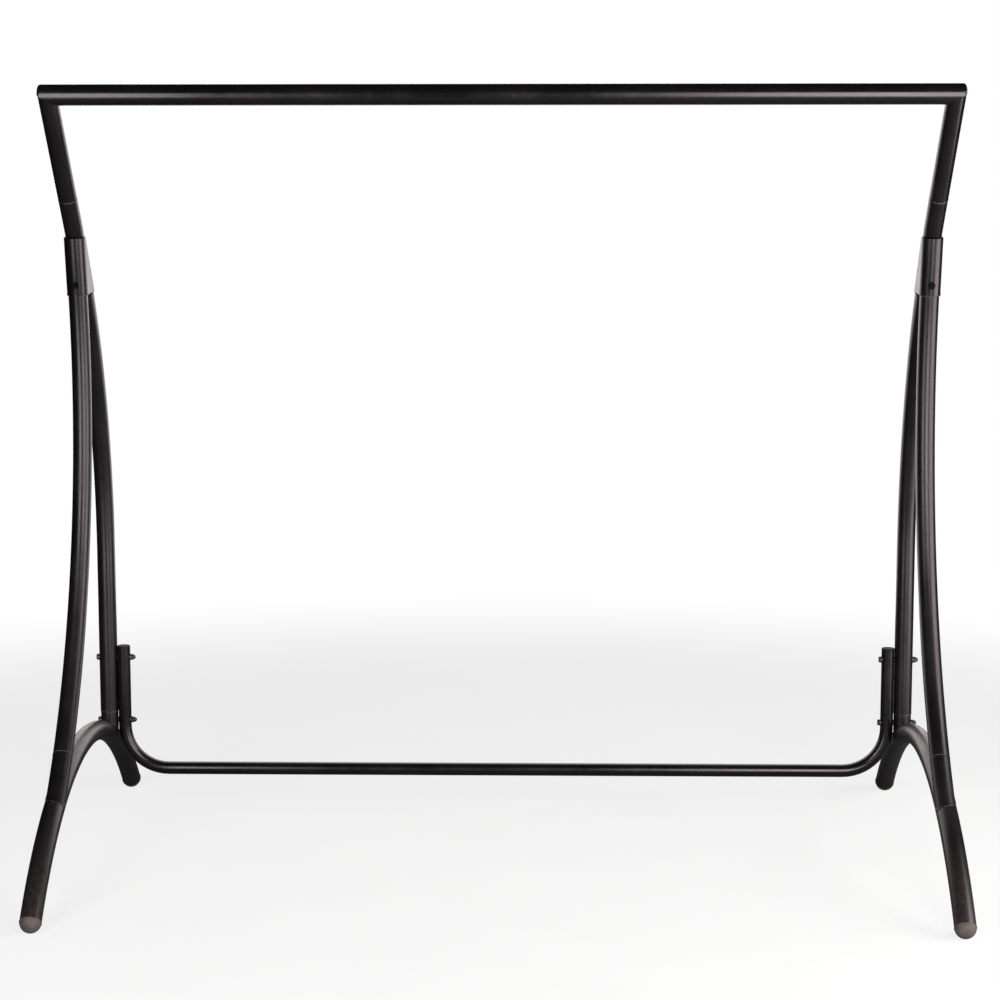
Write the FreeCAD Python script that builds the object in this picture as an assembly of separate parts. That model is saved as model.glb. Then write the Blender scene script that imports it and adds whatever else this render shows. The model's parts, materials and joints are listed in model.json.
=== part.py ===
import FreeCAD, Part
import math
import os

# Free-standing hammock / swing-seat stand in powder-coated steel tube.
# Millimetres, +Z up, +X to the right of someone facing the stand, +Y to the rear.
# Two side frames stand in the planes x = -1000 and x = +1000. Each one is a curved
# foot arch, a front and a rear leg, a connector that gathers both legs, and an arm
# that leans forward to the top beam. A U-shaped crossbar ties the rear legs. The arches
# are welded 1.2 mm outward of the legs, so that the crossbar's uprights pass beside them.

# ---- tube sizes ----
BEAM_R = 24.0
ARM_R = 22.0
LEG_R = 22.5
SLEEVE_R = 25.0
ARCH_R = 24.0
CROSSBAR_R = 16.0
REAR_STUB_R = 21.7
WALL = 2.0
LEG_WALL = 1.5
SPIGOT_GAP = 0.4

# ---- side frame layout ----
FRAME_X = 1000.0
ARCH_X = 1001.2
ARCH_RADIUS = 904.0
ARCH_HALF = 626.4
TIP_Z = 23.4

FRONT_BULGE_Y = 72.0
FRONT_BULGE_Z = 1118.8
FRONT_RADIUS = 1189.0
FRONT_SEAM_Z = 300.0

REAR_Y = 333.0
REAR_LEAN = 35.0
REAR_SEAM_Z = 274.0

SLEEVE_FRONT_Z = 1338.0
SLEEVE_REAR_Z = 1341.0
NODE_Z = 1485.0
SLEEVE_DROP = 12.0
REAR_SLEEVE_LENGTH = 60.0
FRONT_LEG_IN = 95.0
REAR_LEG_IN = 44.0

# ---- arms and beam ----
ARM_SEAM_Z = 1561.0
BEAM_Y = -156.0
BEAM_Z = 1793.5
ARM_TOP_X = 1017.5
ARM_BEND = 300.0
BEAM_END_X = 1031.0
BEAM_CAP = 7.0
BEAM_CAP_ROUND = 6.5
MITRE_SLOPE = 1.45
MITRE_OFFSET = 5.0

# ---- crossbar ----
CROSSBAR_X = 961.0
CROSSBAR_Z = 125.0
CROSSBAR_TOP_Z = 438.0
CROSSBAR_BEND = 110.0
BOLT_Z = (250.0, 411.0)

# ---- joints ----
SPIGOT_LENGTH = 80.0
SPIGOT_NECK = 12.0
SHOULDER = 3.4
ARM_SHOULDER = 2.2
SLEEVE_ROUND = 3.0
SLEEVE_TOP_WALL = 5.0
PLATE = 3.0
CONNECTOR_BOLT_Z = 1359.0

# ---- foot caps and end plugs ----
CAP_RIM = 0.7
CAP_RIM_HEIGHT = 2.5
CAP_RIM_ROUND = 1.0
CAP_PLUG_LENGTH = 18.0
CAP_PLUG_WALL = 4.0
CAP_FLOOR = 2.0
PRESS_CLEARANCE = 0.15
END_PLUG_HEIGHT = 2.5
END_PLUG_ROUND = 1.2
END_PLUG_STEM = 12.0

# ---- M8 fasteners ----
BOLT_R = 4.0
HOLE_R = 4.3
HEAD_ACROSS = 13.0
HEAD_HEIGHT = 5.3
HEAD_CHAMFER = 0.1
NUT_HEIGHT = 5.5
NUT_NECK = 0.8
NUT_BORE = NUT_HEIGHT + 2.5
THREAD_REACH = NUT_HEIGHT + 1.0
DOME_R = 6.1
WASHER_R = 8.0
WASHER_T = 1.6
WASHER_DIP = 3.5
SPACER_R = 7.0
FRONT_SADDLE_T = 3.2
REAR_SADDLE_T = 7.0

# ---- how far cutting tools run past what they cut ----
OVERRUN = 1.0
LONG = 200.0

X_AXIS = FreeCAD.Vector(1, 0, 0)
Y_AXIS = FreeCAD.Vector(0, 1, 0)
Z_AXIS = FreeCAD.Vector(0, 0, 1)


def vec(x, y, z):
    return FreeCAD.Vector(x, y, z)


def rod(start, end, radius):
    """Solid round bar between two points."""
    axis = end - start
    return Part.makeCylinder(radius, axis.Length, start, axis)


def arc_bar(centre, radius, start_deg, end_deg, bar_radius):
    """Solid round bar bent in a YZ plane about centre, angles measured from +Y to +Z."""
    a = math.radians(start_deg)
    middle = centre + vec(0, radius * math.cos(a), radius * math.sin(a))
    tangent = vec(0, -math.sin(a), math.cos(a))
    edge = Part.makeCircle(bar_radius, middle, tangent)
    face = Part.Face(Part.Wire([edge]))
    return face.revolve(centre, X_AXIS, end_deg - start_deg)


def bend_path(points, radius):
    """Wire through the points with every inner corner rounded to the bend radius."""
    edges = []
    start = points[0]
    for corner, after in zip(points[1:-1], points[2:]):
        into = (corner - start).normalize()
        out = (after - corner).normalize()
        half = into.getAngle(out) / 2
        setback = radius * math.tan(half)
        begin = corner - into * setback
        finish = corner + out * setback
        inward = (out - into).normalize()
        middle = corner + inward * (radius / math.cos(half) - radius)
        edges.append(Part.LineSegment(start, begin).toShape())
        edges.append(Part.Arc(begin, middle, finish).toShape())
        start = finish
    edges.append(Part.LineSegment(start, points[-1]).toShape())
    return Part.Wire(edges)


def bent_bar(points, bend, bar_radius):
    """Solid round bar along a path with rounded corners."""
    path = bend_path(points, bend)
    profile = Part.Wire([Part.makeCircle(bar_radius, points[0], points[1] - points[0])])
    return path.makePipeShell([profile], True, True)


def toward(start, direction, distance):
    return start + FreeCAD.Vector(direction).normalize() * distance


def round_ends(solid, centre, radius, size):
    """Rounds the circular edge of the given radius that lies about centre."""
    picked = []
    for edge in solid.Edges:
        curve = edge.Curve
        if not hasattr(curve, "Radius") or not hasattr(curve, "Center"):
            continue
        near = (curve.Center - centre).Length < 0.05
        if near and abs(curve.Radius - radius) < 0.01:
            picked.append(edge)
    return solid.makeFillet(size, picked)


def hexagon(start, axis, height):
    """Hexagonal prism of M8 width with its corners chamfered on the far face."""
    out = FreeCAD.Vector(axis).normalize()
    side = Z_AXIS
    other = out.cross(side)
    reach = HEAD_ACROSS / math.sqrt(3)
    ring = []
    for step in range(7):
        a = math.radians(60 * step)
        ring.append(start + side * (reach * math.cos(a)) + other * (reach * math.sin(a)))
    prism = Part.Face(Part.makePolygon(ring)).extrude(out * height)
    cone = Part.makeCone(reach + height, HEAD_ACROSS / 2 - HEAD_CHAMFER, height, start, out)
    return prism.common(cone)


def cap_nut(start, axis):
    """Domed cap nut: hexagonal base, short neck and half ball, threaded bore left open."""
    out = FreeCAD.Vector(axis).normalize()
    base = hexagon(start, out, NUT_HEIGHT)
    dome_start = start + out * (NUT_HEIGHT + NUT_NECK)
    neck = rod(start, dome_start, DOME_R)
    ball = Part.makeSphere(DOME_R, dome_start)
    ball = ball.common(rod(start + out, dome_start + out * (2 * DOME_R), DOME_R + OVERRUN))
    body = base.fuse([neck, ball]).removeSplitter()
    return body.cut(rod(start - out, start + out * NUT_BORE, BOLT_R))


def mirrored(shape):
    return shape.mirror(vec(0, 0, 0), X_AXIS)


def half_space(point, normal):
    """Large block that fills the side of the plane that its normal points to."""
    return Part.makeCylinder(LONG, LONG, point, normal)


nodes = {}


def both_sides(name, shape):
    nodes[name + "_right"] = shape
    nodes[name + "_left"] = mirrored(shape)


# ---- points of the right-hand side frame ----
arch_centre = vec(ARCH_X, 0, TIP_Z - math.sqrt(ARCH_RADIUS**2 - ARCH_HALF**2))
arch_end = math.degrees(math.asin(ARCH_HALF / ARCH_RADIUS))

front_centre = vec(FRAME_X, FRONT_BULGE_Y - FRONT_RADIUS, FRONT_BULGE_Z)
front_top = math.degrees(math.asin((SLEEVE_FRONT_Z - FRONT_BULGE_Z) / FRONT_RADIUS))
front_seam = math.degrees(math.asin((FRONT_SEAM_Z - FRONT_BULGE_Z) / FRONT_RADIUS))


def front_point(angle):
    a = math.radians(angle)
    return front_centre + vec(0, FRONT_RADIUS * math.cos(a), FRONT_RADIUS * math.sin(a))


front_up = vec(0, -math.sin(math.radians(front_top)), math.cos(math.radians(front_top)))
front_mouth = front_point(front_top)
node = front_mouth + front_up * ((NODE_Z - SLEEVE_FRONT_Z) / front_up.z)

rear_a = math.radians(REAR_LEAN)
rear_up = vec(0, -math.sin(rear_a), math.cos(rear_a))
rear_mouth = node - rear_up * ((NODE_Z - SLEEVE_REAR_Z) / rear_up.z)
REAR_RADIUS = (REAR_Y - rear_mouth.y) / (1 - math.cos(rear_a))
rear_bend_z = rear_mouth.z - REAR_RADIUS * math.sin(rear_a)
rear_centre = vec(FRAME_X, REAR_Y - REAR_RADIUS, rear_bend_z)

arm_top = vec(ARM_TOP_X, BEAM_Y, BEAM_Z)
arm_up = (arm_top - node).normalize()
arm_seam = node + arm_up * ((ARM_SEAM_Z - NODE_Z) / arm_up.z)


# ---- foot arch with its two stubs ----
arch_bar = arc_bar(arch_centre, ARCH_RADIUS, 90 - arch_end, 90 + arch_end, ARCH_R)
bore_low = 90 - arch_end - OVERRUN
bore_high = 90 + arch_end + OVERRUN
arch_bore = arc_bar(arch_centre, ARCH_RADIUS, bore_low, bore_high, ARCH_R - WALL)
foot_arch = arch_bar.cut(arch_bore)
both_sides("foot_arch", foot_arch)


def arch_meets_front():
    """Angle on the front leg's arc where its centre line reaches the arch's."""
    low = -60.0
    high = front_seam
    for _ in range(50):
        middle = (low + high) / 2
        gap = (front_point(middle) - arch_centre).Length - ARCH_RADIUS
        if gap > 0:
            high = middle
        else:
            low = middle
    return high


front_foot = arch_meets_front()
spigot_deg = math.degrees(SPIGOT_LENGTH / FRONT_RADIUS)
spigot_r = LEG_R - LEG_WALL - SPIGOT_GAP
neck_deg = math.degrees(SPIGOT_NECK / FRONT_RADIUS)

stub = arc_bar(front_centre, FRONT_RADIUS, front_foot, front_seam, LEG_R)
stub = round_ends(stub, front_point(front_seam), LEG_R, SHOULDER)
spigot = arc_bar(front_centre, FRONT_RADIUS, front_foot, front_seam + spigot_deg, spigot_r)
bore_start = front_foot - OVERRUN
bore_end = front_seam + spigot_deg + OVERRUN
bore = arc_bar(front_centre, FRONT_RADIUS, bore_start, bore_end, spigot_r - WALL)
wide_end = front_seam - neck_deg
wide = arc_bar(front_centre, FRONT_RADIUS, bore_start, wide_end, LEG_R - WALL)
front_stub = stub.fuse(spigot).cut(bore.fuse(wide)).cut(arch_bar).removeSplitter()
both_sides("front_stub", front_stub)

rear_foot = vec(FRAME_X, REAR_Y, arch_centre.z + math.sqrt(ARCH_RADIUS**2 - REAR_Y**2))
rear_seam = vec(FRAME_X, REAR_Y, REAR_SEAM_Z)
stub = rod(rear_foot, rear_seam, REAR_STUB_R)
stub = round_ends(stub, rear_seam, REAR_STUB_R, SHOULDER)
rear_tip = rear_seam + Z_AXIS * SPIGOT_LENGTH
spigot = rod(rear_foot, rear_tip, spigot_r)
bore = rod(rear_foot - Z_AXIS * OVERRUN, rear_tip + Z_AXIS, spigot_r - WALL)
rear_stub = stub.fuse(spigot).cut(bore).cut(arch_bar).removeSplitter()

# ---- legs ----
front_leg = arc_bar(front_centre, FRONT_RADIUS, front_seam, front_top, LEG_R)
front_leg = front_leg.fuse(rod(front_mouth, toward(front_mouth, front_up, FRONT_LEG_IN), LEG_R))
bore_start = front_seam - OVERRUN
front_leg_bore = arc_bar(front_centre, FRONT_RADIUS, bore_start, front_top, LEG_R - LEG_WALL)
bore_top = toward(front_mouth, front_up, FRONT_LEG_IN + OVERRUN)
front_leg_bore = front_leg_bore.fuse(rod(front_mouth, bore_top, LEG_R - LEG_WALL))
front_leg = front_leg.cut(front_leg_bore).removeSplitter()

rear_bend = vec(FRAME_X, REAR_Y, rear_bend_z)
rear_end = toward(rear_mouth, rear_up, REAR_LEG_IN)


def rear_leg_bar(radius, extra):
    low = rod(rear_seam - Z_AXIS * extra, rear_bend, radius)
    curve = arc_bar(rear_centre, REAR_RADIUS, 0, REAR_LEAN, radius)
    top = rod(rear_mouth, toward(rear_end, rear_up, extra) if extra else rear_end, radius)
    return low.fuse([curve, top])


rear_leg = rear_leg_bar(LEG_R, 0).cut(rear_leg_bar(LEG_R - LEG_WALL, 1)).removeSplitter()

# ---- connector: two sleeves, the lower arm and two web plates ----
sleeve_top = node - front_up * SLEEVE_DROP
front_sleeve_bar = rod(front_mouth, sleeve_top, SLEEVE_R)
front_sleeve_bar = round_ends(front_sleeve_bar, sleeve_top, SLEEVE_R, SLEEVE_ROUND)
sleeve_bore = rod(front_mouth - front_up, sleeve_top - front_up * SLEEVE_TOP_WALL, SLEEVE_R - WALL)
front_sleeve = front_sleeve_bar.cut(sleeve_bore)

rear_sleeve_top = toward(rear_mouth, rear_up, REAR_SLEEVE_LENGTH)
rear_sleeve = rod(rear_mouth, rear_sleeve_top, SLEEVE_R)
rear_bore_top = rear_sleeve_top + rear_up
rear_sleeve = rear_sleeve.cut(rod(rear_mouth - rear_up, rear_bore_top, SLEEVE_R - WALL))
rear_sleeve = rear_sleeve.cut(front_sleeve_bar)

arm_spigot_r = ARM_R - LEG_WALL - SPIGOT_GAP
arm_foot = toward(rear_mouth, rear_up, REAR_LEG_IN + 3)
arm_body = bent_bar([arm_foot, node, arm_seam], ARM_BEND, ARM_R)
arm_body = round_ends(arm_body, arm_seam, ARM_R, ARM_SHOULDER)
arm_tip = toward(arm_seam, arm_up, SPIGOT_LENGTH)
arm_neck = toward(arm_seam, arm_up, -SPIGOT_NECK)
arm_spigot = rod(arm_neck, arm_tip, arm_spigot_r)
arm_bore = bent_bar([arm_foot - rear_up, node, arm_neck], ARM_BEND, ARM_R - LEG_WALL)
arm_throat = rod(arm_neck - arm_up, arm_tip + arm_up, arm_spigot_r - WALL)
lower_arm = arm_body.fuse(arm_spigot).cut(arm_bore.fuse(arm_throat))
lower_arm = lower_arm.cut(front_sleeve_bar)
both_sides("lower_arm", lower_arm)


def web_plate(side):
    """Flat plate flush with the sleeves, filling the wedge between their centre lines."""
    x = FRAME_X + side * SLEEVE_R
    corners = [node, front_mouth, rear_mouth, node]
    outline = Part.makePolygon([vec(x, point.y, point.z) for point in corners])
    plate = Part.Face(outline).extrude(X_AXIS * (-side * PLATE))
    solid_rear = rod(rear_mouth - rear_up, rear_sleeve_top, SLEEVE_R)
    above = half_space(sleeve_top - front_up * SLEEVE_ROUND, front_up)
    return plate.cut(above).cut(front_sleeve_bar).cut(solid_rear).cut(arm_body)


both_sides("web_plate_inner", web_plate(-1))
both_sides("web_plate_outer", web_plate(1))

# ---- top beam and upper arms ----
# The beam's end is cut away on a slant and the arm's top is cut on the same plane, so the
# weld runs from the beam's underside at the arm's inner wall up to the beam's end face.
beam_bar = rod(vec(-BEAM_END_X, BEAM_Y, BEAM_Z), vec(BEAM_END_X, BEAM_Y, BEAM_Z), BEAM_R)
bore_reach = BEAM_END_X + OVERRUN
beam_bore = rod(vec(-bore_reach, BEAM_Y, BEAM_Z), vec(bore_reach, BEAM_Y, BEAM_Z), BEAM_R - WALL)

mitre_normal = (X_AXIS - arm_up * MITRE_SLOPE).normalize()
mitre_point = arm_top + X_AXIS * MITRE_OFFSET
arm_side = half_space(mitre_point, mitre_normal)
outward = (X_AXIS - arm_up * arm_up.x).normalize()
notch = arm_side.common(half_space(arm_top - outward * ARM_R, outward))
nodes["top_beam"] = beam_bar.cut(beam_bore).cut(notch).cut(mirrored(notch))

cap_start = vec(BEAM_END_X, BEAM_Y, BEAM_Z)
cap_end = cap_start + X_AXIS * BEAM_CAP
beam_cap = round_ends(rod(cap_start, cap_end, BEAM_R), cap_end, BEAM_R, BEAM_CAP_ROUND)
both_sides("beam_end_cap", beam_cap.cut(notch))

arm_reach = toward(arm_top, arm_up, LONG / 4)
upper_arm = rod(arm_seam, arm_reach, ARM_R)
upper_arm = upper_arm.cut(rod(arm_seam - arm_up, arm_reach + arm_up, ARM_R - LEG_WALL))
both_sides("upper_arm", upper_arm.cut(half_space(mitre_point, -mitre_normal)))


# ---- foot caps ----
def foot_cap(end):
    """Domed plug in the open end of the foot arch, with a flat worn patch on the ground."""
    a = math.radians(90 + end * arch_end)
    tip = arch_centre + vec(0, ARCH_RADIUS * math.cos(a), ARCH_RADIUS * math.sin(a))
    out = vec(0, -math.sin(a), math.cos(a)) * end
    dome = Part.makeSphere(ARCH_R, tip)
    dome = dome.common(rod(tip, tip + out * (2 * ARCH_R), ARCH_R + OVERRUN))
    rim_end = tip + out * CAP_RIM_HEIGHT
    rim_r = ARCH_R + CAP_RIM
    rim = round_ends(rod(tip, rim_end, rim_r), rim_end, rim_r, CAP_RIM_ROUND)
    plug_r = ARCH_R - WALL - PRESS_CLEARANCE
    plug_end = tip - out * CAP_PLUG_LENGTH
    plug = rod(plug_end, tip + out, plug_r)
    plug = plug.cut(rod(plug_end - out, tip - out * CAP_FLOOR, plug_r - CAP_PLUG_WALL))
    shape = dome.fuse([rim, plug.cut(foot_arch)]).removeSplitter()
    return shape.cut(half_space(vec(tip.x, tip.y, 0), -Z_AXIS))


both_sides("foot_cap_front", foot_cap(1))
both_sides("foot_cap_rear", foot_cap(-1))


# ---- crossbar ----
def crossbar_path(rise):
    top = CROSSBAR_TOP_Z + rise
    left = [vec(-CROSSBAR_X, REAR_Y, top), vec(-CROSSBAR_X, REAR_Y, CROSSBAR_Z)]
    right = [vec(CROSSBAR_X, REAR_Y, CROSSBAR_Z), vec(CROSSBAR_X, REAR_Y, top)]
    return left + right


crossbar_solid = bent_bar(crossbar_path(0), CROSSBAR_BEND, CROSSBAR_R)
crossbar_bore = bent_bar(crossbar_path(1), CROSSBAR_BEND, CROSSBAR_R - LEG_WALL)
crossbar = crossbar_solid.cut(crossbar_bore)

bar_top = vec(CROSSBAR_X, REAR_Y, CROSSBAR_TOP_Z)
plug_top = bar_top + Z_AXIS * END_PLUG_HEIGHT
plug = round_ends(rod(bar_top, plug_top, CROSSBAR_R), plug_top, CROSSBAR_R, END_PLUG_ROUND)
stem_r = CROSSBAR_R - LEG_WALL - PRESS_CLEARANCE
stem = rod(bar_top - Z_AXIS * END_PLUG_STEM, bar_top + Z_AXIS, stem_r)
both_sides("crossbar_end_plug", plug.fuse(stem).removeSplitter())

# ---- crossbar fasteners: every bolt points to +X ----
bar_face = CROSSBAR_X - CROSSBAR_R
bolts = []
nuts = []
washers = []
spacers = []
holes = []


def upright(x, z, radius):
    """Solid stand-in for a vertical tube near the bolt at height z."""
    return rod(vec(x, REAR_Y, z - LONG / 4), vec(x, REAR_Y, z + LONG / 4), radius)


def crossbar_fastening(side, z, post_r):
    """Bolt, cap nut, two curved washers and the spacer between crossbar and rear leg."""
    post = upright(side * FRAME_X, z, post_r)
    tube = upright(side * CROSSBAR_X, z, CROSSBAR_R)
    outer_x = side * (FRAME_X + post_r + WASHER_T)
    inner_x = side * (bar_face - WASHER_T)
    head = vec(min(outer_x, inner_x), REAR_Y, z)
    seat = vec(max(outer_x, inner_x), REAR_Y, z)
    shank = rod(head, seat + X_AXIS * THREAD_REACH, BOLT_R)
    bolts.append(hexagon(head, -X_AXIS, HEAD_HEIGHT).fuse(shank).removeSplitter())
    nuts.append(cap_nut(seat, X_AXIS))
    clear = rod(head - X_AXIS * HEAD_ACROSS, seat + X_AXIS * HEAD_ACROSS, HOLE_R)
    holes.append(clear)
    reach = X_AXIS * (WASHER_T + WASHER_DIP)
    washers.append(rod(head, head + reach, WASHER_R).cut([post, tube, clear]))
    washers.append(rod(seat - reach, seat, WASHER_R).cut([post, tube, clear]))
    gap = rod(vec(side * CROSSBAR_X, REAR_Y, z), vec(side * FRAME_X, REAR_Y, z), SPACER_R)
    spacers.append(gap.cut([post, tube, clear]))


for side in (-1, 1):
    crossbar_fastening(side, BOLT_Z[0], REAR_STUB_R)
    crossbar_fastening(side, BOLT_Z[1], LEG_R)

drill = holes[0].fuse(holes[1:])
nodes["crossbar"] = crossbar.cut(drill)
nodes["crossbar_bolts"] = Part.makeCompound(bolts)
nodes["crossbar_cap_nuts"] = Part.makeCompound(nuts)
nodes["crossbar_washers"] = Part.makeCompound(washers)
nodes["crossbar_spacers"] = Part.makeCompound(spacers)

for name, shape in (("rear_stub", rear_stub), ("rear_leg", rear_leg)):
    nodes[name + "_right"] = shape.cut(drill)
    nodes[name + "_left"] = mirrored(shape).cut(drill)

# ---- connector fasteners: one long bolt along Y through both sleeves on each side ----
front_line = front_mouth + front_up * ((CONNECTOR_BOLT_Z - front_mouth.z) / front_up.z)
rear_line = rear_mouth + rear_up * ((CONNECTOR_BOLT_Z - rear_mouth.z) / rear_up.z)
front_face = front_line.y - SLEEVE_R / front_up.z
rear_face = rear_line.y + SLEEVE_R / rear_up.z
head = vec(FRAME_X, front_face - FRONT_SADDLE_T, CONNECTOR_BOLT_Z)
seat = vec(FRAME_X, rear_face + REAR_SADDLE_T, CONNECTOR_BOLT_Z)
clear = rod(head - Y_AXIS * HEAD_ACROSS, seat + Y_AXIS * HEAD_ACROSS, HOLE_R)
both_sides("front_sleeve", front_sleeve.cut(clear))
both_sides("rear_sleeve", rear_sleeve.cut(clear))
both_sides("front_leg", front_leg.cut(clear))
nodes["rear_leg_right"] = nodes["rear_leg_right"].cut(clear)
nodes["rear_leg_left"] = nodes["rear_leg_left"].cut(mirrored(clear))

shank = rod(head, seat + Y_AXIS * THREAD_REACH, BOLT_R)
long_bolt = hexagon(head, -Y_AXIS, HEAD_HEIGHT).fuse(shank).removeSplitter()
long_nut = cap_nut(seat, Y_AXIS)
rear_sleeve_bar = rod(rear_mouth - rear_up * SLEEVE_R, rear_sleeve_top, SLEEVE_R)
front_saddle = rod(head, head + Y_AXIS * HEAD_ACROSS, WASHER_R).cut([front_sleeve_bar, clear])
rear_saddle = rod(seat - Y_AXIS * WASHER_R * 2, seat, WASHER_R).cut([rear_sleeve_bar, clear])
nodes["connector_bolts"] = Part.makeCompound([long_bolt, mirrored(long_bolt)])
nodes["connector_cap_nuts"] = Part.makeCompound([long_nut, mirrored(long_nut)])
saddles = [front_saddle, rear_saddle, mirrored(front_saddle), mirrored(rear_saddle)]
nodes["connector_saddle_washers"] = Part.makeCompound(saddles)

# ---- write one file per named piece ----
os.makedirs("parts", exist_ok=True)
for name in sorted(nodes):
    shape = nodes[name]
    shape.exportStep("parts/" + name + ".step")
    box = shape.BoundBox
    low = tuple(round(v, 1) for v in (box.XMin, box.YMin, box.ZMin))
    high = tuple(round(v, 1) for v in (box.XMax, box.YMax, box.ZMax))
    print(name, len(shape.Solids), "solids", shape.isValid(), round(shape.Volume), low, high)
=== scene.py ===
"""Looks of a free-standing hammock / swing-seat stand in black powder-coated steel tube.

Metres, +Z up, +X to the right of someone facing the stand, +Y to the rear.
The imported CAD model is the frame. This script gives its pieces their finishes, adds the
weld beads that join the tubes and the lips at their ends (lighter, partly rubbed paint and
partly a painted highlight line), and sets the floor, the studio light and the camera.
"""

import json
import math

import bmesh
import bpy
import numpy as np
from mathutils import Matrix, Vector
from mathutils.bvhtree import BVHTree

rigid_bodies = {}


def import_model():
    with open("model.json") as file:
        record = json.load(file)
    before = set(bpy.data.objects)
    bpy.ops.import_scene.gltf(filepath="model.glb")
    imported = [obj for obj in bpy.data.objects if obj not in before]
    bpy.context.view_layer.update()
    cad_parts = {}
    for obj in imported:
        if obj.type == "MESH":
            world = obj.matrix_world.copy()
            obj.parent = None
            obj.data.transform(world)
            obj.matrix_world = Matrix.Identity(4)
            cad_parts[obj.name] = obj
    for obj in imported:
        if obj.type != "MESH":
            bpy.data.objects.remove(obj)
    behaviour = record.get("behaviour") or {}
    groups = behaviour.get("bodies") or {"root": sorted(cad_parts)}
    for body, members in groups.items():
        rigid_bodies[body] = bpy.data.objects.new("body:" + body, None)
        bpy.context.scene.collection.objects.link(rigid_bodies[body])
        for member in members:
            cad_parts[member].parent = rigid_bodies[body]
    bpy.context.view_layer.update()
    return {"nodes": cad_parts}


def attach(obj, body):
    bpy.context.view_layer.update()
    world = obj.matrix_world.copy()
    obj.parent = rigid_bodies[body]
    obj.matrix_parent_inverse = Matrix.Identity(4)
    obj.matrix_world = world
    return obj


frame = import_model()

NODES = frame["nodes"]
SIDES = ("left", "right")
MM = 0.001
WHITE = (1.0, 1.0, 1.0, 1.0)

# ---- camera, as a person standing in front of the stand sees it ----
CAMERA_PLACE = (0.1142, -5.5963, 1.6102)
CAMERA_YAW = -1.213
CAMERA_PITCH = -7.660
CAMERA_ROLL = -0.033
CAMERA_LENS = 86.4
CAMERA_SENSOR = 36.0


def add_camera():
    """A long lens at a standing person's eye height, turned by yaw, pitch and roll in degrees."""
    yaw, pitch, roll = (math.radians(a) for a in (CAMERA_YAW, CAMERA_PITCH, CAMERA_ROLL))
    ahead = Vector((math.sin(yaw) * math.cos(pitch), math.cos(yaw) * math.cos(pitch), math.sin(pitch)))
    across = Vector((math.cos(yaw), -math.sin(yaw), 0.0))
    above = across.cross(ahead)
    right = across * math.cos(roll) + above * math.sin(roll)
    up = above * math.cos(roll) - across * math.sin(roll)
    data = bpy.data.cameras.new("camera")
    data.lens = CAMERA_LENS
    data.sensor_width = CAMERA_SENSOR
    data.clip_end = 100.0
    camera = bpy.data.objects.new("camera", data)
    facing = Matrix((right, up, -ahead)).transposed().to_4x4()
    camera.matrix_world = Matrix.Translation(CAMERA_PLACE) @ facing
    bpy.context.scene.collection.objects.link(camera)
    bpy.context.scene.camera = camera


# ---- small helpers for node materials ----
class Graph:
    """A material's node tree, with one short call for each kind of node."""

    def __init__(self, name):
        self.material = bpy.data.materials.new(name)
        self.material.use_nodes = True
        self.tree = self.material.node_tree
        self.tree.nodes.clear()
        self.shader = self.tree.nodes.new("ShaderNodeBsdfPrincipled")
        output = self.tree.nodes.new("ShaderNodeOutputMaterial")
        self.link(self.shader.outputs["BSDF"], output.inputs["Surface"])
        self.place = self.tree.nodes.new("ShaderNodeTexCoord").outputs["Object"]
        self.normal = self.tree.nodes.new("ShaderNodeNewGeometry").outputs["Normal"]

    def link(self, source, target):
        self.tree.links.new(source, target)

    def feed(self, socket, value):
        if isinstance(value, bpy.types.NodeSocket):
            self.link(value, socket)
        else:
            socket.default_value = value

    def math(self, operation, a, b, clamp=False):
        node = self.tree.nodes.new("ShaderNodeMath")
        node.operation = operation
        node.use_clamp = clamp
        self.feed(node.inputs[0], a)
        self.feed(node.inputs[1], b)
        return node.outputs[0]

    def stretch(self, scale):
        """Object coordinates scaled unevenly, for grain and scratches that run one way."""
        node = self.tree.nodes.new("ShaderNodeMapping")
        self.link(self.place, node.inputs["Vector"])
        node.inputs["Scale"].default_value = scale
        return node.outputs["Vector"]

    def noise(self, scale, detail=2.0, roughness=0.5, distortion=0.0, vector=None):
        node = self.tree.nodes.new("ShaderNodeTexNoise")
        self.link(vector or self.place, node.inputs["Vector"])
        node.inputs["Scale"].default_value = scale
        node.inputs["Detail"].default_value = detail
        node.inputs["Roughness"].default_value = roughness
        node.inputs["Distortion"].default_value = distortion
        return node.outputs["Fac"]

    def cells(self, scale):
        node = self.tree.nodes.new("ShaderNodeTexVoronoi")
        self.link(self.place, node.inputs["Vector"])
        node.inputs["Scale"].default_value = scale
        return node.outputs["Distance"]

    def remap(self, value, low, high, to_low=0.0, to_high=1.0):
        node = self.tree.nodes.new("ShaderNodeMapRange")
        node.interpolation_type = "SMOOTHSTEP"
        self.link(value, node.inputs["Value"])
        node.inputs["From Min"].default_value = low
        node.inputs["From Max"].default_value = high
        node.inputs["To Min"].default_value = to_low
        node.inputs["To Max"].default_value = to_high
        return node.outputs["Result"]

    def axis(self, vector, letter):
        node = self.tree.nodes.new("ShaderNodeSeparateXYZ")
        self.link(vector, node.inputs[0])
        return node.outputs[letter]

    def blend(self, factor, a, b):
        node = self.tree.nodes.new("ShaderNodeMix")
        node.data_type = "RGBA"
        self.feed(node.inputs["Factor"], factor)
        self.feed(node.inputs["A"], a)
        self.feed(node.inputs["B"], b)
        return node.outputs["Result"]

    def bump(self, height, distance, strength, under=None):
        node = self.tree.nodes.new("ShaderNodeBump")
        self.link(height, node.inputs["Height"])
        node.inputs["Distance"].default_value = distance
        node.inputs["Strength"].default_value = strength
        if under:
            self.link(under, node.inputs["Normal"])
        return node.outputs["Normal"]

    def set(self, **values):
        for name, value in values.items():
            self.feed(self.shader.inputs[name.replace("_", " ")], value)


def colour(red, green, blue):
    return (red, green, blue, 1.0)


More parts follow.
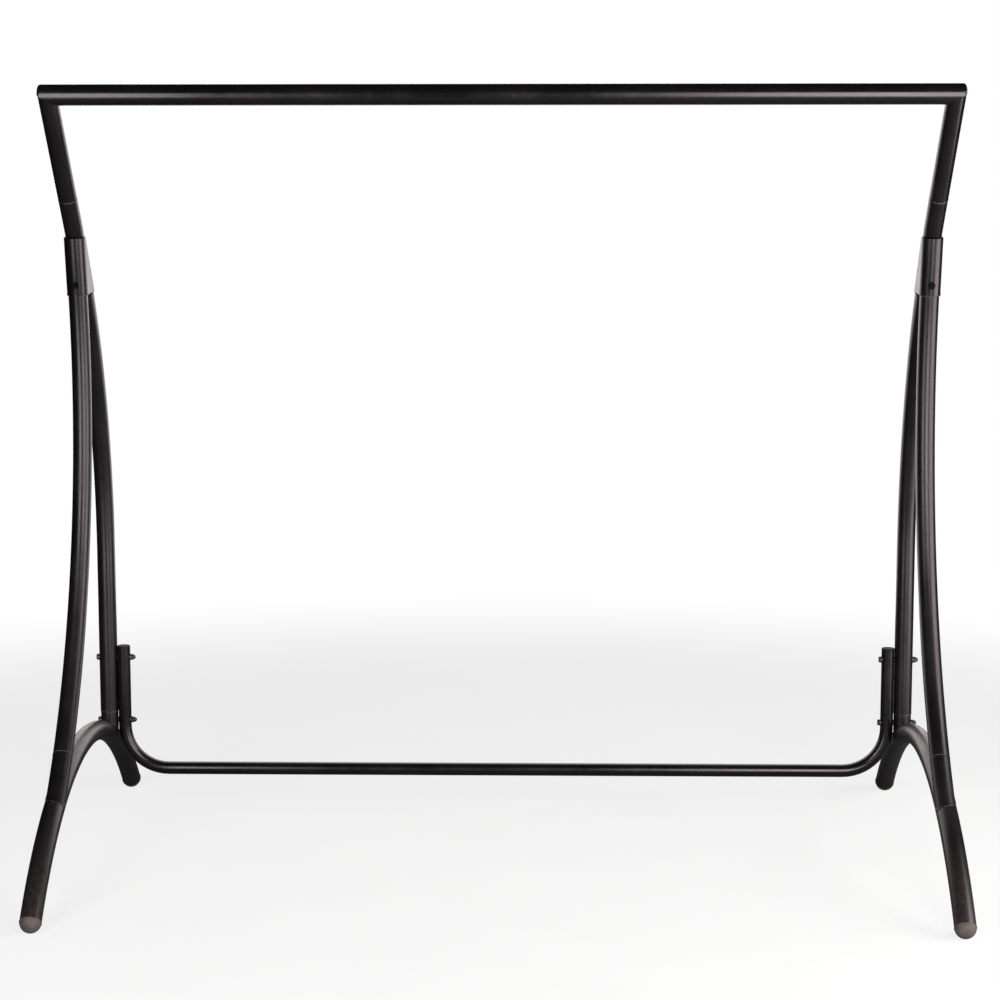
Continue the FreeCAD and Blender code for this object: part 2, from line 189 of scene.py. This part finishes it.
PAINT_DARK = colour(0.0036, 0.0031, 0.0034)
PAINT_LIGHT = colour(0.0060, 0.0053, 0.0056)
SHEEN_COOL = colour(1.0, 0.87, 0.96)
SHEEN_PALE = colour(1.0, 0.90, 0.99)
RUBBED_PAINT = colour(0.055, 0.053, 0.052)
SPECK_PAINT = colour(0.10, 0.095, 0.09)
ROAD_DUST = colour(0.170, 0.138, 0.122)
RUBBER_CLEAN = colour(0.058, 0.044, 0.040)
RUBBER_DUSTY = colour(0.165, 0.124, 0.110)
RUBBER_SCRATCH = colour(0.23, 0.185, 0.165)
PLASTIC_DARK = colour(0.006, 0.006, 0.006)
PLASTIC_LIGHT = colour(0.012, 0.011, 0.011)


def powder_coat(name, roughness, dust=0.0, dust_top=0.3, scuff=0.5, wear_and_highlight=0.0):
    """Satin black powder coat: orange peel, faint scuffs, rubbed patches and road dust low down."""
    g = Graph(name)
    broad = g.noise(7.0, 4.0, 0.6)
    mottle = g.noise(60.0, 3.0, 0.6)
    peel = g.noise(520.0, 2.0, 0.55)
    grain = g.noise(2600.0, 1.0)
    strokes = g.noise(26.0, 5.0, 0.65, 0.6, g.stretch((9.0, 9.0, 1.2)))
    rubbed = g.remap(strokes, 0.62, 0.74)
    specks = g.remap(g.cells(240.0), 0.07, 0.03)
    specks = g.math("MULTIPLY", specks, g.remap(mottle, 0.56, 0.66))

    paint = g.blend(g.remap(broad, 0.3, 0.7), PAINT_DARK, PAINT_LIGHT)
    # wear_and_highlight lightens the paint in patches: partly rubbed paint, partly a painted highlight
    # (used for the lips)
    if wear_and_highlight:
        paint = g.blend(g.remap(mottle, 0.35, 0.60), paint, colour(wear_and_highlight, wear_and_highlight * 0.95, wear_and_highlight * 0.96))
    tint = g.blend(g.remap(mottle, 0.3, 0.7), SHEEN_COOL, SHEEN_PALE)
    paint = g.blend(g.math("MULTIPLY", rubbed, 0.35 * scuff), paint, RUBBED_PAINT)
    paint = g.blend(g.math("MULTIPLY", specks, 0.5 * scuff), paint, SPECK_PAINT)

    rough = g.math("ADD", g.remap(broad, 0.25, 0.75, roughness - 0.05, roughness + 0.05), -0.03)
    rough = g.math("ADD", rough, g.math("MULTIPLY", g.remap(mottle, 0.3, 0.7), 0.03))
    rough = g.math("ADD", rough, g.math("MULTIPLY", rubbed, 0.12 * scuff))
    if dust:
        height = g.axis(g.place, "Z")
        low = g.remap(height, dust_top, 0.0)
        facing_up = g.remap(g.axis(g.normal, "Z"), -0.35, 0.9)
        amount = g.math("MULTIPLY", low, g.math("ADD", g.math("MULTIPLY", facing_up, 0.75), 0.25))
        patchy = g.math("ADD", g.remap(g.noise(90.0, 6.0, 0.7), 0.36, 0.72), 0.5)
        amount = g.math("MULTIPLY", g.math("MULTIPLY", amount, patchy), dust, clamp=True)
        paint = g.blend(amount, paint, ROAD_DUST)
        rough = g.math("ADD", rough, g.math("MULTIPLY", amount, 0.35))
    g.set(Base_Color=paint, Roughness=rough, Specular_Tint=tint)
    g.shader.inputs["Specular IOR Level"].default_value = 0.5
    coat = g.bump(peel, 0.03 * MM, 0.3)
    g.set(Normal=g.bump(grain, 0.01 * MM, 0.5, coat))
    return g.material


def foot_rubber():
    """Hard grey-black rubber with a moulded skin, dust in its pores and scuffs near the ground."""
    g = Graph("foot_rubber")
    pores = g.noise(900.0, 3.0, 0.6)
    blotch = g.noise(45.0, 5.0, 0.65)
    scratches = g.remap(g.noise(60.0, 6.0, 0.7, 1.2, g.stretch((1.0, 1.0, 6.0))), 0.60, 0.72)
    height = g.axis(g.place, "Z")
    low = g.remap(height, 0.05, 0.0)
    dust = g.math("MULTIPLY", g.remap(blotch, 0.35, 0.7), 0.45)
    dust = g.math("ADD", dust, g.math("MULTIPLY", low, 0.30))
    skin = g.blend(dust, RUBBER_CLEAN, RUBBER_DUSTY)
    skin = g.blend(g.math("MULTIPLY", scratches, 0.5), skin, RUBBER_SCRATCH)
    g.set(Base_Color=skin, Roughness=g.remap(blotch, 0.3, 0.7, 0.62, 0.82))
    lumps = g.bump(blotch, 0.25 * MM, 0.5)
    g.set(Normal=g.bump(pores, 0.06 * MM, 0.6, lumps))
    return g.material


def moulded_plastic():
    """Matt black moulded plastic with a fine spark-eroded texture."""
    g = Graph("moulded_plastic")
    texture = g.noise(1800.0, 2.0, 0.6)
    blotch = g.noise(70.0, 4.0, 0.6)
    skin = g.blend(g.remap(blotch, 0.35, 0.7), PLASTIC_DARK, PLASTIC_LIGHT)
    g.set(Base_Color=skin, Roughness=g.remap(blotch, 0.3, 0.7, 0.66, 0.80))
    g.shader.inputs["Specular IOR Level"].default_value = 0.25
    g.set(Normal=g.bump(texture, 0.04 * MM, 0.6))
    return g.material


def dark_metal(name, metal, shine, low, high, rough):
    """Blackened fasteners: a dark metal or oxide skin, worn brighter in small patches, finely grained."""
    g = Graph(name)
    blotch = g.noise(160.0, 5.0, 0.65)
    fine = g.noise(1400.0, 3.0, 0.6)
    worn = g.remap(g.noise(320.0, 4.0, 0.7), 0.60, 0.72)
    skin = g.blend(g.remap(blotch, 0.35, 0.7), colour(low, low, low * 1.05), colour(high, high, high))
    skin = g.blend(g.math("MULTIPLY", worn, 0.5), skin, colour(high * 3.0, high * 2.9, high * 2.8))
    g.set(Base_Color=skin, Roughness=g.remap(blotch, 0.3, 0.7, rough, rough + 0.18))
    g.shader.inputs["Metallic"].default_value = metal
    g.shader.inputs["Specular IOR Level"].default_value = shine
    g.set(Normal=g.bump(fine, 0.03 * MM, 0.5))
    return g.material


def paint_node(name, material):
    """Put the material in every slot of a CAD piece."""
    slots = NODES[name].data.materials
    if not slots:
        slots.append(material)
    for index in range(len(slots)):
        slots[index] = material


def finish_cad_pieces():
    """Give each CAD piece its finish, and return the coats that the added beads share."""
    upper = powder_coat("powder_coat_upper", 0.24, scuff=0.3)
    legs = powder_coat("powder_coat_legs", 0.34, dust=0.05, dust_top=0.45, scuff=0.15)
    sleeves = powder_coat("powder_coat_sleeves", 0.29, scuff=0.15)
    plates = powder_coat("powder_coat_plates", 0.36, scuff=0.4)
    arches = powder_coat("powder_coat_arches", 0.36, dust=0.14, dust_top=0.20, scuff=0.6)
    # Lips' coat: lighter than the tubes, partly rubbed paint and partly a painted highlight line at the
    # tube ends
    edges = powder_coat("powder_coat_edges_rubbed_and_highlight", 0.30, wear_and_highlight=0.07)
    rubber = foot_rubber()
    plastic = moulded_plastic()
    zinc = dark_metal("dark_zinc", 0.8, 0.5, 0.05, 0.10, 0.30)
    oxide = dark_metal("black_oxide", 0.0, 0.06, 0.003, 0.006, 0.70)
    paint_node("top_beam", upper)
    paint_node("crossbar", upper)
    for name in ("crossbar_bolts", "crossbar_cap_nuts", "crossbar_washers"):
        paint_node(name, zinc)
    for name in ("connector_bolts", "connector_cap_nuts", "connector_saddle_washers"):
        paint_node(name, oxide)
    paint_node("crossbar_spacers", plastic)
    for side in SIDES:
        for name in ("upper_arm", "lower_arm", "beam_end_cap"):
            paint_node(name + "_" + side, upper)
        for name in ("front_sleeve", "rear_sleeve"):
            paint_node(name + "_" + side, sleeves)
        for name in ("web_plate_inner", "web_plate_outer"):
            paint_node(name + "_" + side, plates)
        for name in ("front_leg", "rear_leg"):
            paint_node(name + "_" + side, legs)
        for name in ("foot_arch", "front_stub", "rear_stub"):
            paint_node(name + "_" + side, arches)
        for name in ("foot_cap_front", "foot_cap_rear"):
            paint_node(name + "_" + side, rubber)
        paint_node("crossbar_end_plug_" + side, plastic)
    return {"upper": upper, "sleeves": sleeves, "arches": arches, "edges": edges}


# ---- weld beads and lips ----
SEAM_TOLERANCE = 0.35 * MM
SEAM_SECTORS = 72
BEAD_STEP = 0.8 * MM
BEAD_SIDES = 10
LOOP_LEAST = 24
RIPPLE_PITCH = 3.2 * MM
RIPPLE_DEPTH = 0.10
RIPPLE_LAG = 0.9
RIPPLE_MEAN = 0.6
WANDER_SHARE = 0.5
WANDER_PASSES = 12
SHARP = math.radians(50)
SAME_POINT = 0.01 * MM
SAME_END = 3 * MM
RING_LEAST = 12
WELDS = (
    ("front_stub", "front_stub", "foot_arch", 1.7 * MM, "arches", 10),
    ("rear_stub", "rear_stub", "foot_arch", 2.6 * MM, "arches", 20),
    ("arm_beam", "upper_arm", "top_beam", 2.0 * MM, "upper", 30),
    ("rear_sleeve", "rear_sleeve", "front_sleeve", 2.2 * MM, "sleeves", 50),
)
LIPS = (
    ("front_leg", 0.8 * MM),
    ("rear_leg", 0.8 * MM),
    ("front_sleeve", 1.2 * MM),
    ("upper_arm", 0.5 * MM),
)


def seam_points(piece, neighbour):
    """The closed line, outermost in each direction, where one tube's end meets another tube."""
    other = NODES[neighbour].data
    tree = BVHTree.FromPolygons([v.co for v in other.vertices], [p.vertices for p in other.polygons])
    close = []
    for vertex in NODES[piece].data.vertices:
        found = tree.find_nearest(vertex.co)
        if found[3] is not None and found[3] < SEAM_TOLERANCE:
            close.append(tuple(vertex.co))
    points = np.array(close)
    middle = (points.min(0) + points.max(0)) / 2
    spread = points - middle
    flat = np.linalg.svd(spread, full_matrices=False)[2]
    u = spread @ flat[0]
    v = spread @ flat[1]
    turn = np.arctan2(v, u)
    reach = np.hypot(u, v)
    ring = []
    for sector in range(SEAM_SECTORS):
        low = -math.pi + 2 * math.pi * sector / SEAM_SECTORS
        inside = (turn >= low) & (turn < low + 2 * math.pi / SEAM_SECTORS)
        if inside.any():
            best = np.flatnonzero(inside)[np.argmax(reach[inside])]
            ring.append(points[best])
    return np.array(ring)


def even_loop(points, step):
    """The closed line through the points, smoothed a little and resampled at an even step."""
    for _ in range(2):
        points = (np.roll(points, 1, 0) + 2 * points + np.roll(points, -1, 0)) / 4
    closed = np.vstack([points, points[:1]])
    lengths = np.linalg.norm(np.diff(closed, axis=0), axis=1)
    along = np.concatenate([[0.0], np.cumsum(lengths)])
    count = max(LOOP_LEAST, int(along[-1] / step))
    wanted = np.linspace(0.0, along[-1], count, endpoint=False)
    return np.stack([np.interp(wanted, along, closed[:, k]) for k in range(3)], 1)


def bead_along(name, path, radius, ripple, material, seed):
    """A closed bead of round section along the path, rippled like a weld where ripple is not zero."""
    count = len(path)
    ahead = np.roll(path, -1, 0) - np.roll(path, 1, 0)
    ahead /= np.linalg.norm(ahead, axis=1)[:, None]
    outward = path - path.mean(0)
    outward -= (outward * ahead).sum(1)[:, None] * ahead
    outward /= np.linalg.norm(outward, axis=1)[:, None]
    side = np.cross(ahead, outward)
    rng = np.random.default_rng(seed)
    wander = rng.normal(0.0, 1.0, count)
    for _ in range(WANDER_PASSES):
        wander = (np.roll(wander, 1) + wander + np.roll(wander, -1)) / 3
    wander *= WANDER_SHARE * ripple / wander.std()
    ripples = max(1, round(count * BEAD_STEP / RIPPLE_PITCH))
    mesh = bmesh.new()
    rings = []
    for i in range(count):
        phase = 2 * math.pi * ripples * i / count
        ring = []
        for k in range(BEAD_SIDES):
            turn = 2 * math.pi * k / BEAD_SIDES
            lag = RIPPLE_LAG * math.cos(turn)
            wave = abs(math.sin((phase + lag) / 2)) - RIPPLE_MEAN
            size = radius * (1 + wander[i] + ripple * wave)
            spot = path[i] + (outward[i] * math.cos(turn) + side[i] * math.sin(turn)) * size
            ring.append(mesh.verts.new(spot))
        rings.append(ring)
    for i in range(count):
        here = rings[i]
        after = rings[(i + 1) % count]
        for k in range(BEAD_SIDES):
            n = (k + 1) % BEAD_SIDES
            mesh.faces.new((here[k], after[k], after[n], here[n]))
    bmesh.ops.recalc_face_normals(mesh, faces=mesh.faces)
    data = bpy.data.meshes.new(name)
    mesh.to_mesh(data)
    mesh.free()
    data.polygons.foreach_set("use_smooth", [True] * len(data.polygons))
    data.materials.append(material)
    bead = bpy.data.objects.new(name, data)
    bpy.context.scene.collection.objects.link(bead)
    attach(bead, "root")


def weld_bead(name, piece, neighbour, radius, material, seed):
    """A rippled fillet weld along the line where the two pieces meet."""
    path = even_loop(seam_points(piece, neighbour), BEAD_STEP)
    bead_along(name, path, radius, RIPPLE_DEPTH, material, seed)


def end_ring(node):
    """The sharp outer ring at a tube's lower end, taken from its mesh."""
    mesh = bmesh.new()
    mesh.from_mesh(NODES[node].data)
    bmesh.ops.remove_doubles(mesh, verts=mesh.verts, dist=SAME_POINT)
    sharp = [e for e in mesh.edges if len(e.link_faces) == 2 and e.calc_face_angle(0.0) > SHARP]
    joined = {}
    for edge in sharp:
        for vertex in edge.verts:
            joined.setdefault(vertex, []).append(edge)
    rings = []
    used = set()
    for edge in sharp:
        if edge in used:
            continue
        ring = []
        vertex = edge.verts[0]
        while edge is not None:
            used.add(edge)
            vertex = edge.other_vert(vertex)
            ring.append(tuple(vertex.co))
            edge = next((e for e in joined[vertex] if e not in used), None)
        rings.append(np.array(ring))
    mesh.free()
    rings = [r for r in rings if len(r) > RING_LEAST]
    lowest = min(r[:, 2].mean() for r in rings)
    near = [r for r in rings if r[:, 2].mean() - lowest < SAME_END]
    return max(near, key=lambda r: np.ptp(r[:, 0]))


def add_lips(coats):
    """The slightly proud edges where one tube ends and the next one begins, in a lighter coat that is
    partly rubbed paint and partly a painted highlight line.
    """
    for side in SIDES:
        for node, radius in LIPS:
            path = even_loop(end_ring(node + "_" + side), BEAD_STEP)
            bead_along("lip_" + node + "_" + side, path, radius, 0.0, coats["edges"], 0)


def add_welds(coats):
    """Welds at the stubs, at the beam and between the sleeves. The beam is one piece for both sides."""
    for number, side in enumerate(SIDES):
        for label, piece, neighbour, radius, coat, seed in WELDS:
            end = "_" + side
            other = neighbour if neighbour in NODES else neighbour + end
            weld_bead("weld_" + label + end, piece + end, other, radius, coats[coat], seed + number)


# ---- stage ----
FLOOR_RADIUS = 9.0
FLOOR_DROP = 0.5 * MM
FLOOR_FADE = (1.6, 4.5)
FLOOR_GLOW = (0.78, 1.0)
FLOOR_DARK = colour(0.20, 0.20, 0.20)
FLOOR_LIGHT = colour(0.22, 0.22, 0.22)
ROOM_COLOUR = colour(0.95, 0.97, 1.0)
ROOM_STRENGTH = 0.02


def add_floor():
    """Plain pale floor that fades into the white background away from the stand."""
    place = (0, 0, -FLOOR_DROP)
    bpy.ops.mesh.primitive_circle_add(vertices=128, radius=FLOOR_RADIUS, fill_type="NGON", location=place)
    floor = bpy.context.object
    floor.name = "floor"
    g = Graph("floor_pale")
    tree = g.tree
    cloudy = g.remap(g.noise(3.0, 5.0, 0.6), 0.3, 0.7)
    g.set(Base_Color=g.blend(cloudy, FLOOR_DARK, FLOOR_LIGHT), Roughness=0.9)
    span = tree.nodes.new("ShaderNodeVectorMath")
    span.operation = "LENGTH"
    g.link(g.place, span.inputs[0])
    far = g.remap(span.outputs["Value"], *FLOOR_FADE)
    seen = tree.nodes.new("ShaderNodeLightPath").outputs["Is Camera Ray"]
    glow = g.math("MULTIPLY", seen, g.remap(far, 0.0, 1.0, *FLOOR_GLOW))
    g.shader.inputs["Emission Color"].default_value = WHITE
    g.link(glow, g.shader.inputs["Emission Strength"])
    floor.data.materials.append(g.material)


def add_world():
    """Plain white to the camera, but a dim room for the light that reaches the object."""
    world = bpy.data.worlds.new("studio")
    world.use_nodes = True
    tree = world.node_tree
    tree.nodes.clear()
    output = tree.nodes.new("ShaderNodeOutputWorld")
    seen = tree.nodes.new("ShaderNodeBackground")
    seen.inputs["Color"].default_value = WHITE
    seen.inputs["Strength"].default_value = 1.0
    room = tree.nodes.new("ShaderNodeBackground")
    room.inputs["Color"].default_value = ROOM_COLOUR
    room.inputs["Strength"].default_value = ROOM_STRENGTH
    path = tree.nodes.new("ShaderNodeLightPath")
    mix = tree.nodes.new("ShaderNodeMixShader")
    tree.links.new(path.outputs["Is Camera Ray"], mix.inputs["Fac"])
    tree.links.new(room.outputs[0], mix.inputs[1])
    tree.links.new(seen.outputs[0], mix.inputs[2])
    tree.links.new(mix.outputs[0], output.inputs["Surface"])
    bpy.context.scene.world = world


def softbox(name, place, target, width, height, power, tint=(1.0, 1.0, 1.0)):
    """A soft rectangular lamp facing the target, unseen by the camera, with its power in watts."""
    data = bpy.data.lights.new(name, "AREA")
    data.shape = "RECTANGLE"
    data.size = width
    data.size_y = height
    data.energy = power
    data.color = tint
    lamp = bpy.data.objects.new(name, data)
    lamp.location = place
    lamp.rotation_euler = (Vector(target) - Vector(place)).to_track_quat("-Z", "Y").to_euler()
    lamp.visible_camera = False
    bpy.context.scene.collection.objects.link(lamp)
    return lamp


def add_lights():
    """Two tall softboxes in front, one at the right, and a glow behind that lights only the stand."""
    softbox("front_right", (1.45, -3.6, 1.40), (0.6, 0.0, 1.35), 1.5, 2.6, 112.0, (1.0, 0.985, 0.965))
    softbox("front_left", (-1.95, -3.6, 1.40), (-0.8, 0.0, 1.35), 1.3, 2.6, 86.0)
    softbox("side_right", (3.0, -1.1, 1.35), (0.0, -0.4, 1.2), 2.2, 2.7, 100.0, (1.0, 0.97, 0.955))
    glow = softbox("backdrop_glow", (0.0, 1.55, 1.45), (0.0, 0.0, 1.45), 3.4, 2.3, 46.0, (1.0, 0.94, 0.91))
    stand = bpy.data.collections.new("stand_only")
    for piece in bpy.data.objects:
        if piece.type == "MESH" and piece.name != "floor":
            stand.objects.link(piece)
    glow.light_linking.receiver_collection = stand


def add_looks():
    """Plain display colours, so that white stays white."""
    bpy.context.scene.view_settings.view_transform = "Standard"
    bpy.context.scene.view_settings.look = "None"


add_camera()
add_looks()
coats = finish_cad_pieces()
add_welds(coats)
add_lips(coats)
add_floor()
add_world()
add_lights()
